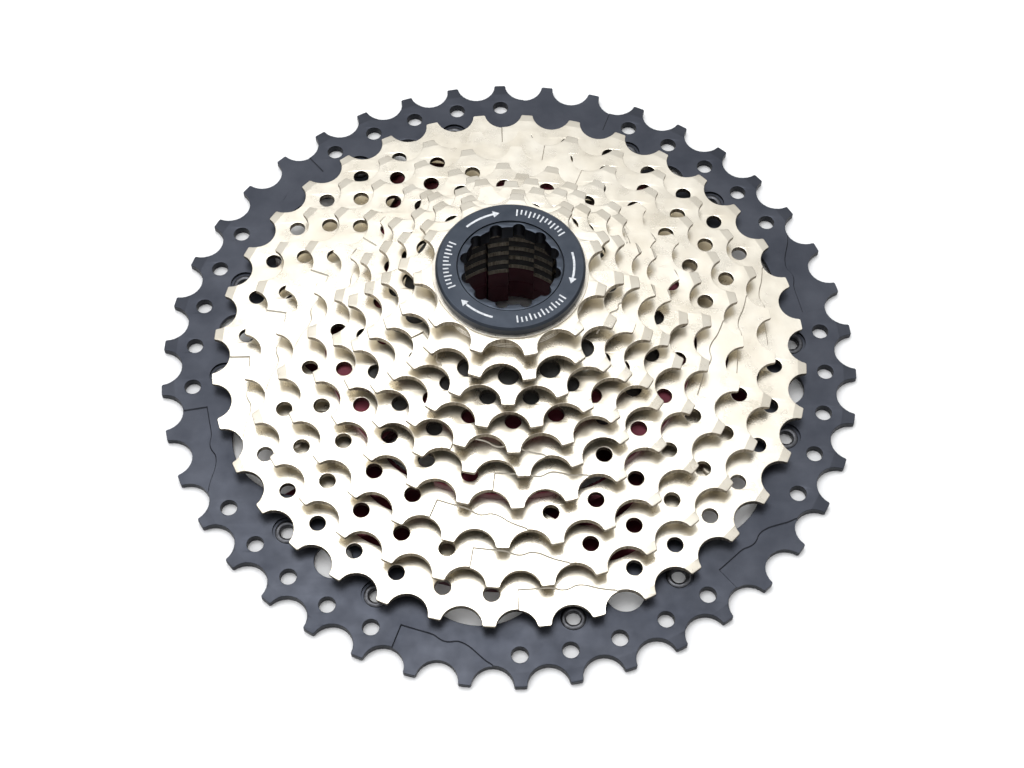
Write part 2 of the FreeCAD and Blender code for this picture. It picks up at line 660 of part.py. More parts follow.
def make_rivets(name, tag, low, high, low_end, high_end):
    """Solid rivets from one height to another, each end domed or let in flat."""
    shank = value(cell("rivet_radius"))
    head = value(cell("rivet_head_radius"))
    tall = value(cell("rivet_dome_height"))
    deep = value(cell("rivet_foot_depth"))
    bottom, top = value(low), value(high)
    if low_end == "dome":
        lower = dome(tall, head, bottom, -1)[::-1] + [(shank, bottom)]
    else:
        lower = [(0, bottom), (head, bottom), (head, bottom + deep), (shank, bottom + deep)]
    if high_end == "dome":
        upper = [(shank, top)] + dome(tall, head, top, 1)
    else:
        upper = [(shank, top - deep), (head, top - deep), (head, top), (0, top)]
    rivet = turned_solid(lower + upper)
    add_fasteners(name, ring_of(rivet, value(cell(f"rivet_circle_{tag}")), [value(cell("ring_arm_angle"))]))


def make_eyelets():
    """Hollow rivets that hold the largest sprocket on the prongs."""
    bore = value(cell("eyelet_bore"))
    tube = value(cell("eyelet_radius"))
    lip = value(cell("eyelet_lip_radius"))
    thin = value(cell("eyelet_lip_thickness"))
    low = value(cell("eyelet_foot_depth"))
    high = value(f"{cell('big_thickness')} - {cell('eyelet_recess_depth')}")
    points = [
        (bore, low - thin), (lip, low - thin), (lip, low), (tube, low), (tube, high),
        (lip, high), (lip, high + thin), (bore, high + thin),
    ]
    angles = [value(angle) for angle in eyelet_angles()]
    add_fasteners("eyelets_42t", ring_of(turned_solid(points), value(cell("eyelet_circle")), angles))


# ------------------------------------------------------------------ the whole part

def node_shapes():
    """The objects that are written, by name."""
    kept = [item for item in doc.Objects if item.isDerivedFrom("PartDesign::Body")]
    kept += [item for item in doc.Objects if item.TypeId == "Part::Feature"]
    return {item.Label: item for item in kept}


def check_model():
    for item in doc.Objects:
        if "Invalid" in item.State or "Error" in item.State:
            raise RuntimeError(f"{item.Label} did not build: {item.State}")
    for name, item in node_shapes().items():
        if item.Shape.isNull() or not item.Shape.isValid():
            raise RuntimeError(f"{name} has no valid shape")


def write_parts():
    os.makedirs("parts", exist_ok=True)
    for name, item in node_shapes().items():
        item.Shape.exportStep(f"parts/{name}.step")
        box = item.Shape.BoundBox
        print(f"{name}: {len(item.Shape.Solids)} solids, {item.Shape.Volume:.0f} mm3, "
              f"z {box.ZMin:.2f} to {box.ZMax:.2f}")


fill_sheet()
make_big_sprocket("42t")
for ring in RINGS:
    make_riveted_ring(ring)
for loose in ORDER[len(RINGS) + 1:]:
    make_loose_sprocket(loose)
for above in SPACERS:
    make_spacer(above)
make_support_ring(RINGED_SPACER)
make_large_carrier()
make_small_carrier()
make_washer()
make_lockring()
make_rivets("rivets_36t", "36t", "0", front_face("36t"), "foot", "dome")
make_rivets("rivets_32t", "32t", "0", front_face("32t"), "foot", "dome")
make_rivets("rivets_28t", "28t", back_face("28t"), back_face("24t"), "dome", "foot")
make_eyelets()
doc.recompute()
check_model()
write_parts()
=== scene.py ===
import json
import math

import bmesh
import bpy
from mathutils import Matrix, Vector


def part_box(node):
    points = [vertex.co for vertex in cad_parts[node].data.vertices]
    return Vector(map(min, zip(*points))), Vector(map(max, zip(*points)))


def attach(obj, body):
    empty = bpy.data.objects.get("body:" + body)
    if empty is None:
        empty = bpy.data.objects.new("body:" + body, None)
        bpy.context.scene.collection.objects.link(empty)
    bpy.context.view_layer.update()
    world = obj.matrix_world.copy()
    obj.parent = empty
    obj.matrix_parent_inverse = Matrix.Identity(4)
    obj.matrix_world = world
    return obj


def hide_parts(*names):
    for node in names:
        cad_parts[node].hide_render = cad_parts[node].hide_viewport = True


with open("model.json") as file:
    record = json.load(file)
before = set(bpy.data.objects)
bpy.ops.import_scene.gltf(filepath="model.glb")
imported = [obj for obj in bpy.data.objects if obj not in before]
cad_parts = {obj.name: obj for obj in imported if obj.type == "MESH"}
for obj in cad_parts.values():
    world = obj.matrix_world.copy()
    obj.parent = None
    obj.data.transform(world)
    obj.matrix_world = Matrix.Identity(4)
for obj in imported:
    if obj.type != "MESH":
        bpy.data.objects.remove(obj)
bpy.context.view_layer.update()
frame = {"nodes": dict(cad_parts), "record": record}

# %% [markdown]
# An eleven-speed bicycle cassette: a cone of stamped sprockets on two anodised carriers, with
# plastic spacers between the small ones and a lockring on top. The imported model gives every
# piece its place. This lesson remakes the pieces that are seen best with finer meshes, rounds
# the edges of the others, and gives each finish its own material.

MM = 0.001

# %% [markdown]
# The camera comes first, so that every later piece can be judged from the place it is seen from.
# It could be aimed with a constraint, but three vectors built from two angles say exactly where
# it looks: down at about sixty degrees from some forty-six centimetres away, which gives the
# strong perspective of a small object on a table.

# %% Camera
CAMERA_AZIMUTH = -0.77
CAMERA_ELEVATION = 60.26
CAMERA_ROLL = 0.76
CAMERA_DISTANCE = 464.2 * MM
CAMERA_LENS = 66.76
CAMERA_AIM = Vector((0.7, -7.2, 2.4)) * MM


def make_camera():
    tilt = math.radians(CAMERA_ELEVATION)
    roll = math.radians(CAMERA_ROLL)
    forward = Vector((0, math.cos(tilt), -math.sin(tilt)))
    level = Vector((1, 0, 0))
    up = level.cross(forward)
    right = level * math.cos(roll) + up * math.sin(roll)
    up = up * math.cos(roll) - level * math.sin(roll)
    pose = Matrix((right, up, -forward)).transposed().to_4x4()
    pose.translation = CAMERA_AIM - forward * CAMERA_DISTANCE
    data = bpy.data.cameras.new("camera")
    data.lens = CAMERA_LENS
    data.sensor_width = 36
    data.clip_start = 0.01
    camera = bpy.data.objects.new("camera", data)
    camera.matrix_world = Matrix.Rotation(math.radians(CAMERA_AZIMUTH), 4, "Z") @ pose
    bpy.context.scene.collection.objects.link(camera)
    bpy.context.scene.camera = camera
    return camera


camera = make_camera()
print("camera at", [round(c / MM) for c in camera.matrix_world.translation], "mm")

# %% [markdown]
# Every outline in this object is made of arcs: gullets, crests, scallops, spline slots, holes.
# They could be typed in as long lists of points. Spinning one vertex about a centre is simpler,
# because it leaves the arc behind it as a chain of edges, as a pair of compasses would.

# %% Drawing arcs and joining them
def polar(radius, degrees):
    """A point at a distance from the axle and a direction, in millimetres and degrees."""
    angle = math.radians(degrees)
    return Vector((math.cos(angle), math.sin(angle), 0)) * radius * MM


def draw_arc(bm, centre, radius, start, end, steps):
    """Spins one vertex, and gives back the two ends of the arc."""
    first = bm.verts.new(centre + polar(radius, start))
    spun = bmesh.ops.spin(bm, geom=[first], cent=centre, axis=(0, 0, -1),
                          angle=math.radians(start - end), steps=steps)
    last = next(item for item in spun["geom_last"] if isinstance(item, bmesh.types.BMVert))
    return first, last


def close_chain(bm, arcs):
    """Joins the end of each arc to the start of the next, and the last to the first."""
    for (_, end), (start, _) in zip(arcs, arcs[1:] + arcs[:1]):
        bm.edges.new((end, start))


def draw_circle(bm, radius, centre, segments=28):
    bmesh.ops.create_circle(bm, segments=segments, radius=radius * MM,
                            matrix=Matrix.Translation(centre))


trial = bmesh.new()
trial_arc = draw_arc(trial, Vector(), 10, 0, 90, 6)
print("a quarter arc ends at", [round(c / MM, 1) for c in trial_arc[1].co])
trial.free()

# %% [markdown]
# A sprocket's teeth follow from its chain. The pitch circle has one 12.7 mm chord for each tooth,
# and each gullet is an arc that the chain's roller drops into. On shifting sprockets the arcs are
# opened out until they meet a short crest, and the crest's corners are broken by a small chamfer.

# %% Tooth outline
PITCH = 12.7
GULLET_RADIUS = 4.9
GULLET_OFFSET = 0.35
CREST_CORNER = 0.25
GULLET_STEPS = 14
CREST_STEPS = 3


def pitch_radius(teeth):
    return PITCH / (2 * math.sin(math.pi / teeth))


def root_radius(teeth):
    return pitch_radius(teeth) + GULLET_OFFSET - GULLET_RADIUS


def far_side(base, radius, reach):
    """Angle at a circle's centre where it meets a circle of another radius about the axle."""
    return math.degrees(math.acos((reach**2 - base**2 - radius**2) / (2 * base * radius)))


def draw_teeth(bm, teeth, clocking, tip):
    """The whole toothed outline: one gullet and one crest for each tooth."""
    base = pitch_radius(teeth) + GULLET_OFFSET
    half = far_side(base, GULLET_RADIUS, tip - CREST_CORNER)
    corner = Vector((base, 0, 0)) + polar(GULLET_RADIUS, half) / MM
    spread = math.degrees(math.atan2(corner.y, corner.x) + CREST_CORNER / tip)
    step = 360 / teeth
    arcs = []
    for tooth in range(teeth):
        gullet = clocking + (tooth + 0.5) * step
        arcs.append(draw_arc(bm, polar(base, gullet), GULLET_RADIUS,
                             gullet + 360 - half, gullet + half, GULLET_STEPS))
        arcs.append(draw_arc(bm, Vector(), tip,
                             gullet + spread, gullet + step - spread, CREST_STEPS))
    close_chain(bm, arcs)


print("root radius of 42 teeth:", round(root_radius(42), 2), "mm")

# %% [markdown]
# Inside, a sprocket has one of two edges. The small ones slide on a freehub body and have nine
# spline slots, one of them narrow so that they only go on one way round. The large ones are rings,
# scalloped between the places where they are riveted. Both are again chains of arcs. The notches
# that a tool fits into, in the middle of the lockring, are small scallops too.

# %% Inner edges
LUG_RADIUS = 16.1
SLOT_RADIUS = 17.4
SLOT_WIDTH = 22
KEY_WIDTH = 14
SLOTS = 9
SLOT_PITCH = 360 / SLOTS
ARMS = 6
RING_ARM_ANGLE = 26
PRONG_ARM_ANGLE = 53


def draw_spline(bm, lug_radius=LUG_RADIUS):
    """Nine slots and nine lugs, starting with the narrow slot."""
    halves = [KEY_WIDTH / 2] + [SLOT_WIDTH / 2] * (SLOTS - 1)
    arcs = []
    for slot, (half, next_half) in enumerate(zip(halves, halves[1:] + halves[:1])):
        angle = slot * SLOT_PITCH
        arcs.append(draw_arc(bm, Vector(), SLOT_RADIUS, angle - half, angle + half, 6))
        arcs.append(draw_arc(bm, Vector(), lug_radius,
                             angle + half, angle + SLOT_PITCH - next_half, 6))
    close_chain(bm, arcs)


def draw_scalloped_edge(bm, inner, scallop, scallop_circle, first_angle,
                        count=ARMS, scallop_steps=28, inner_steps=16):
    """A ring's inner edge, opened outwards by round scallops."""
    half = far_side(scallop_circle, scallop, inner)
    corner = Vector((scallop_circle, 0, 0)) + polar(scallop, half) / MM
    spread = math.degrees(math.atan2(corner.y, corner.x))
    step = 360 / count
    arcs = []
    for number in range(count):
        angle = first_angle + number * step
        arcs.append(draw_arc(bm, polar(scallop_circle, angle), scallop,
                             angle - half, angle + half, scallop_steps))
        arcs.append(draw_arc(bm, Vector(), inner,
                             angle + spread, angle + step - spread, inner_steps))
    close_chain(bm, arcs)


trial = bmesh.new()
draw_spline(trial)
print("the spline's outline has", len(trial.edges), "edges")
trial.free()

# %% [markdown]
# A stamped plate is its outline given a thickness, with every edge broken a little, because a
# perfectly sharp edge never catches the light. Extruding and bevelling a face full of holes is
# fragile. A flat curve does it in one step: it fills between its outlines, holes and all, and its
# own bevel rounds both rims. The curve is made back into a mesh before it is lifted into place.

# %% From an outline to a plate
MERGE = 0.0005 * MM


def solid_from_outline(bm, low, high, edge, resolution=1):
    """Turns a wire outline into a closed plate between two heights, all in millimetres."""
    wire = bpy.data.meshes.new("outline")
    bm.to_mesh(wire)
    bm.free()
    drawn = bpy.data.objects.new("outline", wire)
    bpy.context.scene.collection.objects.link(drawn)
    bpy.ops.object.select_all(action="DESELECT")
    bpy.context.view_layer.objects.active = drawn
    drawn.select_set(True)
    bpy.ops.object.convert(target="CURVE")
    return solid_from_curve(bpy.context.view_layer.objects.active, low, high, edge, resolution)


def solid_from_curve(drawn, low, high, edge, resolution=1):
    """The same for a curve, which it uses up."""
    curve = drawn.data
    curve.dimensions = "2D"
    curve.fill_mode = "BOTH"
    curve.extrude = ((high - low) / 2 - edge) * MM
    curve.bevel_depth = edge * MM
    curve.bevel_resolution = resolution
    curve.offset = -edge * MM
    filled = bpy.data.meshes.new_from_object(drawn)
    bpy.data.objects.remove(drawn)
    plate = bmesh.new()
    plate.from_mesh(filled)
    bpy.data.meshes.remove(filled)
    bmesh.ops.remove_doubles(plate, verts=plate.verts, dist=MERGE)
    bmesh.ops.translate(plate, verts=plate.verts, vec=(0, 0, (low + high) / 2 * MM))
    return plate


def heights(node):
    """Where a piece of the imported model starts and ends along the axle, in millimetres."""
    low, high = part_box(node)
    return low[2] / MM, high[2] / MM


print("the largest sprocket lies between", [round(z, 2) for z in heights("sprocket_42t")], "mm")

# %% [markdown]
# The tips of the teeth are thinned on both faces, so that the chain drops over them. This is a
# flat facet with a crisp line where it starts. One cut of bisect_plane across each tooth gives
# that line, and then everything beyond it is drawn in towards the middle of the plate.

# %% Thinned tooth tips
TAPER_LENGTH = 2.2
BIG_TAPER_LENGTH = 3.2
TAPER_DEPTH = 0.35


def thin_tips(bm, teeth, clocking, tip, length):
    zs = [vert.co.z for vert in bm.verts]
    middle, half = (min(zs) + max(zs)) / 2, (max(zs) - min(zs)) / 2
    shoulder = (tip - length) * MM
    step = 360 / teeth
    groups = {}
    for vert in bm.verts:
        if vert.co.xy.length > shoulder:
            angle = math.degrees(math.atan2(vert.co.y, vert.co.x))
            groups.setdefault(round((angle - clocking) / step) % teeth, []).append(vert)
    for tooth, tips in groups.items():
        outwards = polar(1, clocking + tooth * step).normalized()
        faces = {face for vert in tips for face in vert.link_faces}
        edges = {edge for face in faces for edge in face.edges}
        verts = {vert for face in faces for vert in face.verts}
        cut = bmesh.ops.bisect_plane(bm, geom=[*verts, *edges, *faces], dist=0.0001 * MM,
                                     plane_co=outwards * shoulder, plane_no=outwards)
        for edge in cut["geom_cut"]:
            if isinstance(edge, bmesh.types.BMEdge):
                edge.smooth = False
        for vert in tips:
            beyond = vert.co.dot(outwards) - shoulder
            if beyond > 0:
                shrink = 1 - TAPER_DEPTH * MM / half * beyond / (length * MM)
                vert.co.z = middle + (vert.co.z - middle) * shrink


# %% [markdown]
# Shift ramps are coined into the front face. Each starts with a straight step running in from one
# gullet, turns, and wanders back out to another gullet a few teeth on. The wandering line is a
# NURBS curve, with a point given twice where it turns sharply. Each point has a circle, a distance
# outside that circle, and a share of the way from the first gullet to the second. Cutting with the
# line, rather than modelling it into the plate, leaves the drilled holes beside it alone. It is
# turned a quarter of a degree, because a cutter whose corner falls exactly on a corner of the
# plate can confuse the Boolean.

# %% Shift ramps
RAMP_LINE = (
    ("tip", 0.0, 0.0), ("tip", 0.0, 0.0), ("floor", 0.0, 0.0), ("floor", 0.0, 0.0),
    ("floor", 0.0, 0.22), ("floor", 0.1, 0.36), ("floor", 1.1, 0.44), ("floor", 1.3, 0.52),
    ("floor", 0.5, 0.61), ("floor", 1.3, 0.72), ("floor", 2.6, 0.80), ("root", -1.0, 0.92),
    ("root", -0.2, 1.0), ("tip", 0.0, 1.0), ("tip", 0.0, 1.0),
)
RAMP_DEPTH = 0.38
RAMP_EDGE = 0.24
RAMP_OFFSET = 0.25
RAMP_OVERRUN = 1.5
RAMP_CLEARANCE = 2


def gullet_near(angle, teeth, clocking):
    """Direction of the gullet that is nearest to an angle."""
    step = 360 / teeth
    return clocking + (round((angle - clocking) / step - 0.5) + 0.5) * step


def ramp_cutter(fact, tip, top):
    """The cutters of a sprocket's ramps, in one mesh."""
    root = root_radius(fact["teeth"])
    radii = {"tip": tip + RAMP_OVERRUN, "root": root, "floor": root - fact["ramp_inset"]}
    start = gullet_near(fact["ramp_start"], fact["teeth"], fact["clocking"])
    end = gullet_near(fact["ramp_start"] + fact["ramp_span"], fact["teeth"], fact["clocking"])
    curve = bpy.data.curves.new("ramp", "CURVE")
    line = curve.splines.new("NURBS")
    line.points.add(len(RAMP_LINE) - 1)
    for point, (circle, outside, along) in zip(line.points, RAMP_LINE):
        spot = polar(radii[circle] + outside, start + RAMP_OFFSET + along * (end - start))
        point.co = (*spot, 1)
    line.use_cyclic_u = True
    line.order_u = 3
    line.resolution_u = 8
    drawn = bpy.data.objects.new("ramp", curve)
    cutter = solid_from_curve(drawn, top - RAMP_DEPTH, top + RAMP_CLEARANCE, RAMP_EDGE, 0)
    one_ramp = [*cutter.verts, *cutter.edges, *cutter.faces]
    for period in range(1, fact["periods"]):
        copied = bmesh.ops.duplicate(cutter, geom=one_ramp)["geom"]
        turn = Matrix.Rotation(2 * math.pi * period / fact["periods"], 3, "Z")
        bmesh.ops.rotate(cutter, matrix=turn,
                         verts=[item for item in copied if isinstance(item, bmesh.types.BMVert)])
    return cutter


def as_object(bm, name):
    mesh = bpy.data.meshes.new(name)
    bm.to_mesh(mesh)
    bm.free()
    made = bpy.data.objects.new(name, mesh)
    bpy.context.scene.collection.objects.link(made)
    return made


def cut_away(bm, cutters):
    """Cuts every cutter out of a piece. All of them are closed meshes, and are used up."""
    piece = as_object(bm, "blank")
    tools = [as_object(cutter, "cutter") for cutter in cutters]
    for tool in tools:
        cut = piece.modifiers.new("cut", "BOOLEAN")
        cut.operation = "DIFFERENCE"
        cut.solver = "EXACT"
        cut.object = tool
    shown = piece.evaluated_get(bpy.context.evaluated_depsgraph_get())
    mesh = bpy.data.meshes.new_from_object(shown)
    result = bmesh.new()
    result.from_mesh(mesh)
    for leftover in [piece, *tools]:
        bpy.data.objects.remove(leftover)
    bpy.data.meshes.remove(mesh)
    return result


# %% [markdown]
# Every piece ends the same way: doubled points are merged, faces are shaded smooth except across
# real edges, and weighted normals keep the wide flat faces flat to the eye while the small rounded
# edges turn smoothly. Then the piece takes the place of its node and rides on the node's body.

# %% Finishing a piece
SHARP_ANGLE = 35
made_pieces = {}


def finish_piece(bm, name, node, slot, body="cassette", finish=None):
    """Makes the object, and keeps its finish for later. The finish is its slot's, if not given."""
    bmesh.ops.remove_doubles(bm, verts=bm.verts, dist=MERGE)
    for face in bm.faces:
        face.smooth = True
    for edge in bm.edges:
        if edge.calc_face_angle(0) > math.radians(SHARP_ANGLE):
            edge.smooth = False
    piece = as_object(bm, name)
    weighted = piece.modifiers.new("weighted_normals", "WEIGHTED_NORMAL")
    weighted.keep_sharp = True
    if node:
        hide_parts(node)
    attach(piece, body)
    made_pieces[name] = (piece, finish or slot)
    return piece


# %% [markdown]
# The eleven sprockets. Their sizes are a table: how many teeth, the direction of the first tooth,
# and how the drilled and ramped teeth repeat. Holes lighten the teeth that are not ramped. The
# steel ones are 1.6 mm thick, and the largest one is of thicker aluminium. A second table has the
# scalloped edge of the three steel rings: its radius, the scallops' radius, and the circles that
# the scallops and the rivets lie on.

# %% The sprockets' table
COLUMNS = ("teeth", "clocking", "periods", "drilled", "first_drilled",
           "hole_inset", "hole_radius", "ramp_start", "ramp_span", "ramp_inset")
SPROCKETS = {
    "42t": (42, 5.96, 6, 5, 3, 2.7, 1.95, 11.7, 15.0, 5.9),
    "36t": (36, 6.28, 4, 7, 2, 3.7, 1.9, 1.0, 20.0, 5.0),
    "32t": (32, 7.79, 4, 6, 1, 3.5, 1.9, -10.4, 23.0, 5.0),
    "28t": (28, -1.71, 4, 5, 1, 3.6, 1.9, -22.9, 26.0, 4.8),
    "24t": (24, 2.0, 3, 6, 4, 3.2, 1.9, 27.3, 25.0, 4.5),
    "21t": (21, -0.09, 3, 5, 3, 3.4, 1.9, 9.3, 32.0, 4.5),
    "19t": (19, 5.98, 1, 16, 2, 3.7, 1.9, 2.0, 34.0, 4.5),
    "17t": (17, 4.85, 1, 14, 2, 3.4, 1.9, -6.0, 38.0, 4.2),
    "15t": (15, 5.03, 3, 4, 0, 3.2, 2.4, 94.0, 30.0, 3.2),
    "13t": (13, 2.58, 0, 0, 0, 0, 0, 0, 0, 0),
    "11t": (11, 20.25, 0, 0, 0, 0, 0, 0, 0, 0),
}
RINGS = {
    "36t": (53.3, 16.0, 45.0, 57.25),
    "32t": (46.3, 14.0, 39.0, 49.5),
    "28t": (33.5, 12.0, 33.0, 36.3),
}
RIVET_HOLE = 1.54
STEEL_THICKNESS = 1.6
STEEL_EDGE = 0.17
SMALL_LUG_RADIUS = 16.4
TIP_BELOW_PITCH = 0.3


def draw_holes(bm, fact):
    """One hole below each drilled tooth."""
    circle = root_radius(fact["teeth"]) - fact["hole_inset"]
    for period in range(fact["periods"]):
        for number in range(fact["drilled"]):
            tooth = fact["first_drilled"] + number + period * fact["teeth"] / fact["periods"]
            spot = polar(circle, fact["clocking"] + tooth * 360 / fact["teeth"])
            draw_circle(bm, fact["hole_radius"], spot)


def make_steel_sprocket(tag):
    """A toothed plate, cut flush with its node's front face."""
    fact = dict(zip(COLUMNS, SPROCKETS[tag]))
    high = heights(f"sprocket_{tag}")[1]
    tip = pitch_radius(fact["teeth"]) - TIP_BELOW_PITCH
    outline = bmesh.new()
    draw_teeth(outline, fact["teeth"], fact["clocking"], tip)
    if tag in RINGS:
        inner, scallop, scallop_circle, rivet_circle = RINGS[tag]
        draw_scalloped_edge(outline, inner, scallop, scallop_circle, RING_ARM_ANGLE + 180 / ARMS)
        for arm in range(ARMS):
            spot = polar(rivet_circle, RING_ARM_ANGLE + arm * 360 / ARMS)
            draw_circle(outline, RIVET_HOLE, spot, segments=20)
    else:
        draw_spline(outline, SMALL_LUG_RADIUS if tag == "11t" else LUG_RADIUS)
    if fact["periods"]:
        draw_holes(outline, fact)
    plate = solid_from_outline(outline, high - STEEL_THICKNESS, high, STEEL_EDGE)
    thin_tips(plate, fact["teeth"], fact["clocking"], tip, TAPER_LENGTH)
    if fact["periods"]:
        plate = cut_away(plate, [ramp_cutter(fact, tip, high)])
    return plate


for tag in list(SPROCKETS)[1:-1]:
    piece = finish_piece(make_steel_sprocket(tag), f"cog_{tag}", f"sprocket_{tag}", "nickel_plate")
    print(piece.name, "has", len(piece.data.polygons), "faces")

# %% [markdown]
# The largest sprocket is cut from thicker aluminium. Besides its teeth and ramps it has a round
# window between each pair of hollow rivets, a counterbore for each rivet's lip, and a recess at the
# back that the carrier's prongs lie in. The recess and the counterbores stop part of the way
# through, so they are cut away with short cylinders.

# %% The largest sprocket
BIG_INNER = 61.8
BIG_SCALLOP = 16
BIG_SCALLOP_CIRCLE = 55
BIG_WINDOW = 4.5
BIG_WINDOW_CIRCLE = 68
EYELET_CIRCLE = 70
EYELET_SPREAD = 22
EYELET_HOLE = 2.44
COUNTERBORE = 3.6
COUNTERBORE_DEPTH = 0.7
BACK_RECESS = 74.3
BACK_RECESS_DEPTH = 1.2
ALUMINIUM_EDGE = 0.2
TIP_ABOVE_PITCH = 0.35
CUTTER_CLEARANCE = 1
prong_angles = [PRONG_ARM_ANGLE + arm * 360 / ARMS for arm in range(ARMS)]
eyelet_spots = [polar(EYELET_CIRCLE, angle + side * EYELET_SPREAD / 2)
                for angle in prong_angles for side in (-1, 1)]


def add_cylinder(bm, radius, low, high, centre=Vector(), *, segments):
    place = Matrix.Translation(centre + Vector((0, 0, (low + high) / 2 * MM)))
    bmesh.ops.create_cone(bm, cap_ends=True, segments=segments, radius1=radius * MM,
                          radius2=radius * MM, depth=(high - low) * MM, matrix=place)


def make_big_sprocket():
    fact = dict(zip(COLUMNS, SPROCKETS["42t"]))
    low, high = heights("sprocket_42t")
    tip = pitch_radius(fact["teeth"]) + TIP_ABOVE_PITCH
    outline = bmesh.new()
    draw_teeth(outline, fact["teeth"], fact["clocking"], tip)
    draw_scalloped_edge(outline, BIG_INNER, BIG_SCALLOP, BIG_SCALLOP_CIRCLE,
                        PRONG_ARM_ANGLE + 180 / ARMS)
    draw_holes(outline, fact)
    for angle in prong_angles:
        draw_circle(outline, BIG_WINDOW, polar(BIG_WINDOW_CIRCLE, angle), segments=40)
    for spot in eyelet_spots:
        draw_circle(outline, EYELET_HOLE, spot, segments=24)
    plate = solid_from_outline(outline, low, high, ALUMINIUM_EDGE)
    thin_tips(plate, fact["teeth"], fact["clocking"], tip, BIG_TAPER_LENGTH)
    recess = bmesh.new()
    add_cylinder(recess, BACK_RECESS, low - CUTTER_CLEARANCE, low + BACK_RECESS_DEPTH, segments=180)
    counterbores = bmesh.new()
    for spot in eyelet_spots:
        add_cylinder(counterbores, COUNTERBORE, high - COUNTERBORE_DEPTH, high + CUTTER_CLEARANCE,
                     spot, segments=36)
    return cut_away(plate, [recess, counterbores, ramp_cutter(fact, tip, high)])


piece = finish_piece(make_big_sprocket(), "cog_42t", "sprocket_42t", "black_anodised")
print(piece.name, "has", len(piece.data.polygons), "faces")

# %% [markdown]
# Turned pieces, such as the smallest sprocket's boss, the lockring and the hollow rivets, are
# sections spun about their own centre line, which is how a lathe makes them. Edges that would be
# too sharp are then bevelled, wherever two faces meet at more than a small angle.

# %% Turning and breaking edges
def turn_section(bm, section, centre=Vector(), steps=128):
    """Spins a closed section of radius and height, in millimetres, about an upright line."""
    verts = [bm.verts.new(centre + Vector((radius, 0, height)) * MM) for radius, height in section]
    edges = [bm.edges.new(pair) for pair in zip(verts, verts[1:] + verts[:1])]
    bmesh.ops.spin(bm, geom=verts + edges, cent=centre, axis=(0, 0, 1), angle=2 * math.pi,
                   steps=steps, use_merge=True)


def break_edges(bm, width, angle=30):
    """Bevels the edges where faces meet at more than an angle in degrees."""
    sharp = [edge for edge in bm.edges
             if len(edge.link_faces) == 2 and edge.calc_face_angle(0) > math.radians(angle)]
    bmesh.ops.bevel(bm, geom=sharp, offset=width * MM, offset_type="OFFSET", affect="EDGES",
                    segments=2, profile=0.5, clamp_overlap=True, material=-1)


def add_shell(bm, other):
    """Puts another closed shell into the same mesh."""
    mesh = bpy.data.meshes.new("shell")
    other.to_mesh(mesh)
    other.free()
    bm.from_mesh(mesh)
    bpy.data.meshes.remove(mesh)


# %% [markdown]
# The smallest sprocket has a boss in place of a spacer, left from the bar that it was turned from,
# with a few fine grooves round it that show in its gullets.

# %% The smallest sprocket
BOSS_RADIUS = 17.89
BOSS_BORE = SLOT_RADIUS + 0.1
GROOVE_HEIGHTS = (0.35, 1.0, 1.65)
GROOVE_DEPTH = 0.12
GROOVE_WIDTH = 0.22
GROOVE_SLOPE = 0.06
OVERLAP = 0.05


def make_small_sprocket():
    """Three closed shells: the toothed plate, the boss, and the lugs inside the boss."""
    plate = make_steel_sprocket("11t")
    low, high = heights("sprocket_11t")
    step = high - STEEL_THICKNESS
    section = [(BOSS_BORE, low), (BOSS_RADIUS, low)]
    for height in GROOVE_HEIGHTS:
        start, end = low + height, low + height + GROOVE_WIDTH
        section += [(BOSS_RADIUS, start), (BOSS_RADIUS - GROOVE_DEPTH, start + GROOVE_SLOPE),
                    (BOSS_RADIUS - GROOVE_DEPTH, end - GROOVE_SLOPE), (BOSS_RADIUS, end)]
    section += [(BOSS_RADIUS, step), (BOSS_BORE, step)]
    boss = bmesh.new()
    turn_section(boss, section)
    bmesh.ops.recalc_face_normals(boss, faces=boss.faces)
    outline = bmesh.new()
    draw_circle(outline, BOSS_BORE + OVERLAP, Vector(), segments=96)
    draw_spline(outline, SMALL_LUG_RADIUS)
    lugs = solid_from_outline(outline, low, step + OVERLAP, STEEL_EDGE)
    add_shell(plate, boss)
    add_shell(plate, lugs)
    return plate


piece = finish_piece(make_small_sprocket(), "cog_11t", "sprocket_11t", "nickel_plate")
print(piece.name, "has", len(piece.data.polygons), "faces")

# %% [markdown]
# The lockring holds everything on. Its face has a shallow dish with a fine groove round it, and
# the dish's hole has twelve notches for the tool. The notched part is a plate like the sprockets.
# The rim, thread and barrel round it are one turned section. The plate reaches a little way into
# the section, below the groove.

# %% The lockring
LOBE_RADIUS = 10.5
NOTCH_RADIUS = 1.5
NOTCH_CIRCLE = 10.1
NOTCHES = 12
FIRST_NOTCH = 19
DISH_RADIUS = 12.1
DISH_DEPTH = 0.15
RIM_GAP = 0.16
RIM_GAP_DEPTH = 0.5
RIM_EDGE = 0.07
SOCKET_DEPTH = 4.4
SOCKET_EDGE = 0.15
FLANGE_RADIUS = 17.15
FLANGE_HEIGHT = 2.4
FLANGE_CHAMFER = 0.5
THREAD_CREST = 15.2
THREAD_ROOT = 14.6
THREAD_TURNS = 3
THREAD_PITCH = 1.0
BARREL_BORE = 12.8


